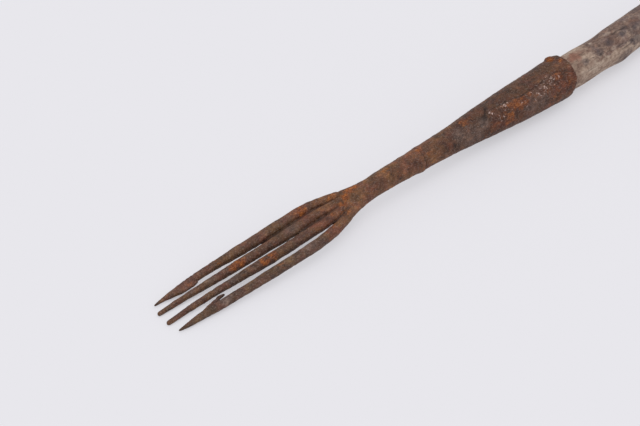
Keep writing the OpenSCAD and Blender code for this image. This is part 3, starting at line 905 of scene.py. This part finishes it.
def shaft_piece():
    cols = 112
    fine = np.arange(5.0, -130.0, -0.62)
    coarse = np.linspace(-130.0, -SHAFT_LEN + 2.0, 560)
    stations = np.concatenate([[40.0, 20.0, 9.0], fine, coarse])
    ahead, angle = np.meshgrid(stations, np.linspace(0, 360, cols, endpoint=False), indexing="ij")
    radius = curved(stations, [(at, girth) for at, side, girth in POLE])[:, None] + 0 * angle
    inside = stations > 3
    bore = socket_r(stations[inside]) - SOCKET_WALL - 0.35
    radius[inside] = np.minimum(radius[inside], bore[:, None])
    off = curved(stations, [(at, side) for at, side, girth in POLE])
    off[inside] = 0
    y = off[:, None] + radius * np.sin(np.radians(angle))
    p = np.stack([ahead, y, REST_H + radius * np.cos(np.radians(angle))], axis=-1)

    def drawn(share):
        """The points with their distances ahead squeezed, for noise that runs with the grain."""
        return p * np.array([share, 1, 1])

    # The hand grip is smooth, and the end in the socket and next to it has lost its bark.
    rough = smooth(-640, -560, ahead)
    whittled = smooth(-34, -24, ahead) * smooth(4, 0, ahead)
    grain = 0.10 * ripples(drawn(0.12), 2.4, 3, 101) + 0.16 * ripples(drawn(0.12), 9.0, 2, 103)
    uneven = 0.5 * ripples(drawn(0.35), 22.0, 2, 105) * rough
    upper = smooth(-64, -46, signed(angle) + 9 * ripple(p, 8.0, 121))
    near_head = smooth(-130, -90, ahead)
    bark = ripples(drawn(0.5), 20.0, 3, 107) - 0.12 + near_head * (0.9 * upper - 0.5 * (1 - upper))
    bark = smooth(0.10, 0.28, bark + 0.12 * ripples(p, 3.0, 2, 109)) * smooth(-23, -30, ahead) * rough
    skin = grain + uneven + 0.35 * bark + 0.25 * bark * ripples(drawn(0.12), 3.5, 3, 111)
    marks = (ahead, angle, radius, ripples(drawn(0.6), 4.0, 3, 127))
    knot = np.zeros_like(ahead)
    for at, turn, size, height in KNOTS:
        arc = np.radians(signed(angle - turn)) * radius
        d = np.sqrt(((ahead - at) / 1.25) ** 2 + arc ** 2) / size
        skin = skin + height * (hump(d, 1.0) - 0.55 * hump(d, 0.38))
        knot = np.maximum(knot, hump(d, 0.5) + 0.5 * hump(d - 0.8, 0.2))
    knot = np.maximum(knot, marked("knot", *marks) * (0.85 + 0.6 * ripple(p, 3.0, 123)))
    # Cracks run with the grain, in places.
    crack = smooth(0.035, 0.0, np.abs(ripples(drawn(0.035), 7.0, 2, 113)))
    crack = crack * smooth(0.0, 0.25, ripple(p * np.array([0.05, 0.4, 0.4]), 14.0, 115))
    crack = crack * smooth(-6, -20, ahead)
    skin = skin - 0.35 * crack
    # Knife facets where the pole was whittled down.
    facets = np.cos(np.radians(angle * 7 + 40 * wave(0.2 * ahead, 14.0, 117)))
    skin = skin - 0.22 * whittled * np.clip(facets, -0.2, 1)
    rings = displace(p, skin * np.where(inside[:, None], 0.0, 1.0))
    count = len(rings)
    rings = np.concatenate([rings, butt_rings(rings[-1])])
    points, faces = tube(rings, flip=True)
    obj = build("pole", points, faces)

    layers = {"bark": bark, "knot": np.clip(knot, 0, 1), "crack": crack}
    for kind in ("stain", "chip", "ruddy"):
        layers[kind] = marked(kind, *marks)
    layers["ruddy"] *= 0.75 + 0.8 * ripple(p, 2.6, 125)
    # The last two points close the tube's ends.
    for name, values in layers.items():
        full = np.zeros(rings.shape[:2])
        full[:count] = values
        set_value(obj, name, np.append(full, [0.0, 0.0]))
    sawn = np.zeros(rings.shape[:2])
    sawn[count + len(BUTT_BEVEL):] = 1.0
    set_value(obj, "sawn", np.append(sawn, [0.0, 1.0]))
    return obj


# Materials

def srgb(r, g, b):
    """An 8-bit screen colour as the linear colour a shader wants."""
    return tuple((v / 255 / 12.92) if v <= 10 else ((v / 255 + 0.055) / 1.055) ** 2.4 for v in (r, g, b))


class Look:
    """A material and the nodes behind it. Its colours are 8-bit screen colours."""

    def __init__(self, name):
        self.material = bpy.data.materials.new(name)
        self.material.use_nodes = True
        self.tree = self.material.node_tree
        self.tree.nodes.clear()
        self.out = self.add("ShaderNodeOutputMaterial", name="Material Output")
        self.shader = self.add("ShaderNodeBsdfPrincipled")
        self.fill(self.out, {"Surface": self.shader.outputs[0]})
        self.coords = self.add("ShaderNodeTexCoord").outputs["Object"]

    def add(self, kind, inputs=(), **settings):
        node = self.tree.nodes.new(kind)
        for key, value in settings.items():
            setattr(node, key, value)
        self.fill(node, inputs)
        return node

    def fill(self, node, inputs):
        """Links a node's inputs to the outputs given for them, or sets them to plain values."""
        for key, value in dict(inputs).items():
            socket = node.inputs[key]
            if isinstance(value, bpy.types.NodeSocket):
                self.tree.links.new(value, socket)
            elif socket.type == "RGBA":
                socket.default_value = (*srgb(*value), 1.0)
            else:
                socket.default_value = value

    def math(self, operation, *values, clamp=False):
        inputs = dict(enumerate(values))
        return self.add("ShaderNodeMath", inputs, operation=operation, use_clamp=clamp).outputs[0]

    def times(self, a, b, clamp=False):
        return self.math("MULTIPLY", a, b, clamp=clamp)

    def scaled(self, value, factor, offset, clamp=False):
        return self.math("MULTIPLY_ADD", value, factor, offset, clamp=clamp)

    def weighed(self, *parts):
        """The sum of values, each times its weight."""
        (value, weight), *rest = parts
        return self.scaled(value, weight, self.weighed(*rest)) if rest else self.times(value, weight)

    def noise(self, scale, detail, rough, stretch=None, warp=0.0):
        """Noise, drawn out along the spear where stretch is under 1."""
        coords = self.coords
        if stretch:
            coords = self.add("ShaderNodeMapping", {"Vector": coords, "Scale": (stretch, 1, 1)}).outputs[0]
        inputs = {"Vector": coords, "Scale": scale, "Detail": detail, "Roughness": rough, "Distortion": warp}
        return self.add("ShaderNodeTexNoise", inputs).outputs["Fac"]

    def ramp(self, value, *stops):
        """A colour for each value, between stops of a value and a colour."""
        node = self.add("ShaderNodeValToRGB", {0: value})
        elements = node.color_ramp.elements
        while len(elements) < len(stops):
            elements.new(0.5)
        for element, (at, *colour) in zip(elements, stops):
            element.position = at
            element.color = (*srgb(*colour), 1.0)
        return node.outputs[0]

    def step_up(self, value, lo, hi):
        """A soft step from 0 at lo to 1 at hi."""
        inputs = {"Value": value, "From Min": lo, "From Max": hi}
        node = self.add("ShaderNodeMapRange", inputs, interpolation_type="SMOOTHSTEP", clamp=True)
        return node.outputs["Result"]

    def mix(self, factor, a, b, blend="MIX"):
        inputs = {0: factor, 6: a, 7: b}
        return self.add("ShaderNodeMix", inputs, data_type="RGBA", blend_type=blend).outputs[2]

    def coat(self, base, colour, amount, share):
        """The base colour with another over it, by an amount and up to a share."""
        return self.mix(self.times(amount, share, clamp=True), base, colour)

    def bright(self, colour, factor):
        return self.add("ShaderNodeHueSaturation", {"Value": factor, "Color": colour}).outputs[0]

    def layer(self, name):
        """A value kept on the mesh's points."""
        return self.add("ShaderNodeAttribute", attribute_name=name).outputs["Fac"]

    def surface(self, base, rough, shine, height, distance, strength):
        bump = self.add("ShaderNodeBump", {"Height": height, "Distance": distance, "Strength": strength})
        self.fill(self.shader, {"Base Color": base, "Roughness": rough, "Specular IOR Level": shine,
                                "Normal": bump.outputs[0]})


def iron_material(name, extra_rust=0.0):
    look = Look(name)
    broad = look.noise(60, 3, 0.55)
    patch = look.noise(165, 3, 0.6, warp=0.4)
    tinge = look.noise(90, 4, 0.6, warp=0.5)
    ragged = look.noise(320, 4, 0.7, stretch=0.7, warp=0.3)
    grain = look.noise(520, 3, 0.7, stretch=0.5)
    speck = look.noise(1250, 3, 0.75, stretch=0.7)
    warm = look.layer("warm")
    value = look.weighed((broad, 0.30), (patch, 0.45), (ragged, 0.25))
    value = look.math("ADD", value, look.times(warm, 0.015))
    base = look.ramp(value, (0.39, 70, 45, 35), (0.46, 89, 60, 46), (0.52, 105, 71, 54), (0.58, 120, 84, 64),
                     (0.65, 142, 105, 81))
    # The socket and the fork are greyer than the neck, and the brown leans to olive or violet in places.
    leaning = look.ramp(warm, (0, 236, 250, 254), (0.2, 242, 248, 246), (0.4, 250, 237, 219),
                        (1, 254, 247, 224))
    base = look.mix(1.0, base, leaning, "MULTIPLY")
    tint = look.ramp(tinge, (0.38, 248, 247, 216), (0.50, 252, 246, 240), (0.62, 255, 232, 240))
    base = look.mix(1.0, base, tint, "MULTIPLY")
    red = look.times(look.layer("red"), look.step_up(ragged, 0.36, 0.56), clamp=True)
    base = look.mix(red, base, look.mix(1.0, base, (255, 206, 182), "MULTIPLY"))
    # Greyer patches, and a painted sheen on the cone's near lower side.
    grey = look.ramp(value, (0.42, 90, 70, 63), (0.52, 114, 92, 83), (0.62, 146, 124, 113))
    base = look.coat(base, grey, look.layer("grey_and_painted_sheen"), 0.85)
    # How light the colour is: random grain times the shade values, which hold painted shade on the socket.
    shade = look.layer("shade")
    base = look.bright(base, look.times(look.scaled(grain, 1.3, 0.34), shade))
    # Orange rust in the places painted for it, and in stray patches.
    stray = look.times(look.step_up(patch, 0.55, 0.72), look.times(warm, 0.4))
    rust = look.math("ADD", look.layer("rust"), extra_rust)
    edge = look.scaled(patch, 1.2, look.scaled(ragged, 1.6, -1.4))
    shaped = look.step_up(look.math("ADD", rust, edge), 0.30, 1.15)
    shaped = look.times(shaped, look.step_up(rust, 0.0, 0.25))
    shaped = look.math("MAXIMUM", shaped, stray)
    orange = look.ramp(look.weighed((ragged, 0.5), (speck, 0.5)), (0.39, 76, 35, 14), (0.46, 104, 51, 16),
                       (0.53, 138, 72, 22), (0.62, 182, 110, 42))
    orange = look.bright(orange, look.scaled(shade, 0.6, 0.40))
    base = look.coat(base, orange, shaped, 0.9)
    # Glossy crust: dark red, with painted highlights over it: pale glint spots where the crust and the glint
    # marks are.
    gloss = look.layer("gloss")
    base = look.coat(base, (88, 44, 32), gloss, 0.35)
    painted_glint = look.layer("painted_glint")
    painted_highlights = look.scaled(painted_glint, 0.07, look.noise(560, 3, 0.6, warp=1.0))
    painted_highlights = look.times(look.step_up(painted_highlights, 0.61, 0.69), look.math("ADD", gloss, painted_glint), clamp=True)
    base = look.coat(base, (206, 178, 170), painted_highlights, 0.85)
    # Fine pale and dark grains.
    dust = look.scaled(speck, 1.9, -0.99, clamp=True)
    dust = look.times(dust, look.scaled(shaped, -0.5, 1.0))
    base = look.mix(dust, base, (178, 162, 154))
    soot = look.scaled(speck, -2.4, 1.15, clamp=True)
    base = look.mix(soot, base, (48, 28, 22))
    base = look.coat(base, (40, 26, 22), look.step_up(grain, 0.40, 0.30), 0.55)
    # Dark spots and pits, and painted shade in the socket's groove, fold and inside and between the tines.
    base = look.coat(base, (30, 19, 17), look.layer("dark"), 0.8)
    rough = look.math("SUBTRACT", look.scaled(grain, 0.25, 0.50), look.times(gloss, 0.34), clamp=True)
    look.surface(base, rough, 0.28, look.weighed((patch, 0.5), (grain, 0.35), (speck, 0.15)), 0.0008, 1.0)
    return look.material


def end_grain(look):
    """The sawn butt's colour, with rings."""
    middle_at = (0, -0.002, -REST_H / 1000.0 + 0.001)
    centred = look.add("ShaderNodeMapping", {"Vector": look.coords, "Location": middle_at}).outputs[0]
    inputs = {"Vector": centred, "Scale": 150, "Distortion": 2.5, "Detail": 3, "Detail Scale": 1.2}
    rings = look.add("ShaderNodeTexWave", inputs, wave_type="RINGS", rings_direction="X").outputs["Fac"]
    return look.ramp(rings, (0, 122, 100, 78), (0.6, 170, 146, 116), (1, 186, 162, 132))


def wood_material(name):
    look = Look(name)
    streak = look.noise(420, 4, 0.65, stretch=0.12)
    fibre = look.noise(1500, 3, 0.6, stretch=0.08)
    broad = look.noise(60, 4, 0.6, stretch=0.5)
    blotch = look.noise(150, 4, 0.65, stretch=0.8, warp=0.5)
    mottle = look.noise(480, 4, 0.7, stretch=0.8)
    value = look.weighed((broad, 0.25), (blotch, 0.35), (mottle, 0.25), (streak, 0.15))
    base = look.ramp(value, (0.38, 118, 95, 84), (0.46, 143, 120, 105), (0.54, 164, 143, 128),
                     (0.66, 184, 168, 152))
    # The bark is darker, and leans to violet or to a ruddy brown in places.
    dark = look.ramp(value, (0.40, 76, 60, 58), (0.47, 104, 82, 74), (0.54, 132, 110, 98),
                     (0.64, 172, 154, 140))
    violet = look.step_up(look.noise(110, 3, 0.6, warp=0.4), 0.52, 0.62)
    dark = look.coat(dark, (98, 84, 88), violet, 0.5)
    ruddy = look.step_up(look.noise(140, 3, 0.6, warp=0.4), 0.52, 0.62)
    dark = look.coat(dark, (122, 88, 74), ruddy, 0.45)
    bark = look.layer("bark")
    base = look.coat(base, dark, bark, 0.9)
    for kind, colour, share in (("ruddy", (112, 84, 73), 0.9), ("stain", (134, 93, 78), 0.9),
                                ("chip", (182, 162, 148), 0.8), ("knot", (74, 64, 67), 0.85)):
        base = look.coat(base, colour, look.layer(kind), share)
    base = look.bright(base, look.scaled(fibre, 0.7, look.scaled(mottle, 1.1, 0.1)))
    # Fine cracks cross the bark, and long ones run with the grain.
    craze = look.math("ABSOLUTE", look.math("SUBTRACT", look.noise(200, 3, 0.6, warp=0.6), 0.5))
    base = look.coat(base, (66, 52, 50), look.times(look.step_up(craze, 0.016, 0.004), bark), 0.6)
    base = look.coat(base, (56, 46, 42), look.layer("crack"), 0.75)
    base = look.mix(look.layer("sawn"), base, end_grain(look))
    look.surface(base, 0.78, 0.3, look.weighed((streak, 0.3), (fibre, 0.2), (mottle, 0.5)), 0.0006, 0.9)
    return look.material


def floor_material():
    """A pale sweep, partly seen in its plain colour, so the shadow on it stays faint."""
    look = Look("floor")
    shade = (232, 231, 236)
    look.fill(look.shader, {"Base Color": shade, "Roughness": 0.9, "Specular IOR Level": 0.0})
    rays = look.add("ShaderNodeLightPath").outputs
    seen = look.math("MAXIMUM", rays["Is Camera Ray"], rays["Is Glossy Ray"])
    seen = look.math("MAXIMUM", seen, rays["Is Transmission Ray"])
    plain = look.add("ShaderNodeEmission", {"Color": shade}).outputs[0]
    # Close to the iron the shadow is deeper.
    hidden = look.add("ShaderNodeAmbientOcclusion", {"Distance": 0.026}, samples=8).outputs["AO"]
    share = look.scaled(look.step_up(hidden, 0.1, 0.6), 0.19, 0.49)
    inputs = {0: look.times(seen, share), 1: look.shader.outputs[0], 2: plain}
    look.fill(look.out, {"Surface": look.add("ShaderNodeMixShader", inputs).outputs[0]})
    return look.material


# The pieces

iron = iron_material("forged_iron")
rusty = iron_material("rusted_iron", 0.08)
wood = wood_material("weathered_wood")
PIECES = (
    (shaft_piece(), "shaft", "weathered_wood", wood),
    (socket_piece(), "socket", "forged_iron", iron),
    (neck_piece(), "neck", "forged_iron", iron),
    (tine_piece(3, "tine_far_outer_bar"), "tine_far_outer", "forged_iron", iron),
    (tine_piece(2, "tine_far_inner_bar"), "tine_far_inner", "forged_iron", iron),
    (tine_piece(1, "tine_near_inner_bar"), "tine_near_inner", "forged_iron", iron),
    (tine_piece(0, "tine_near_outer_bar"), "tine_near_outer", "forged_iron", iron),
    (nail_piece(), "socket_nail", "rusted_iron", rusty),
)
for obj, node, slot, material in PIECES:
    obj.data.materials.append(material)
    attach(obj, "root")
    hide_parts(node)

# Floor, lights and camera

FLOOR_SIZE = 12
SKY_STRENGTH = 0.84
SUN_STRENGTH = 0.52
SUN_SPREAD = math.radians(38)
SUN_RAYS = Vector((-0.25, 0.0, -0.97))
# Where the camera stands and what it looks at, in metres.
EYE = Vector((MOUTH_X / 1000.0 - 0.8477, -0.7506, 0.9925))
AIM = Vector((MOUTH_X / 1000.0 - 0.2170, 0.0157, 0.0))
LENS = 112.5
SENSOR = 36.0

scene = bpy.context.scene
bpy.ops.mesh.primitive_plane_add(size=FLOOR_SIZE, location=(0, 0, 0))
floor = bpy.context.object
floor.name = "floor"
floor.data.materials.append(floor_material())

world = bpy.data.worlds.new("studio")
scene.world = world
world.use_nodes = True
sky = world.node_tree.nodes["Background"].inputs
sky["Color"].default_value = (1.0, 1.0, 1.0, 1.0)
sky["Strength"].default_value = SKY_STRENGTH

sun_data = bpy.data.lights.new("overhead", "SUN")
sun_data.energy = SUN_STRENGTH
sun_data.angle = SUN_SPREAD
sun = place("overhead", sun_data)
sun.rotation_euler = SUN_RAYS.to_track_quat("-Z", "Y").to_euler()

camera_data = bpy.data.cameras.new("camera")
camera_data.lens = LENS
camera_data.sensor_width = SENSOR
camera_data.clip_start = 0.01
camera = place("camera", camera_data)
camera.location = EYE
camera.rotation_euler = (AIM - EYE).to_track_quat("-Z", "Y").to_euler()
scene.camera = camera
scene.view_settings.view_transform = "Standard"
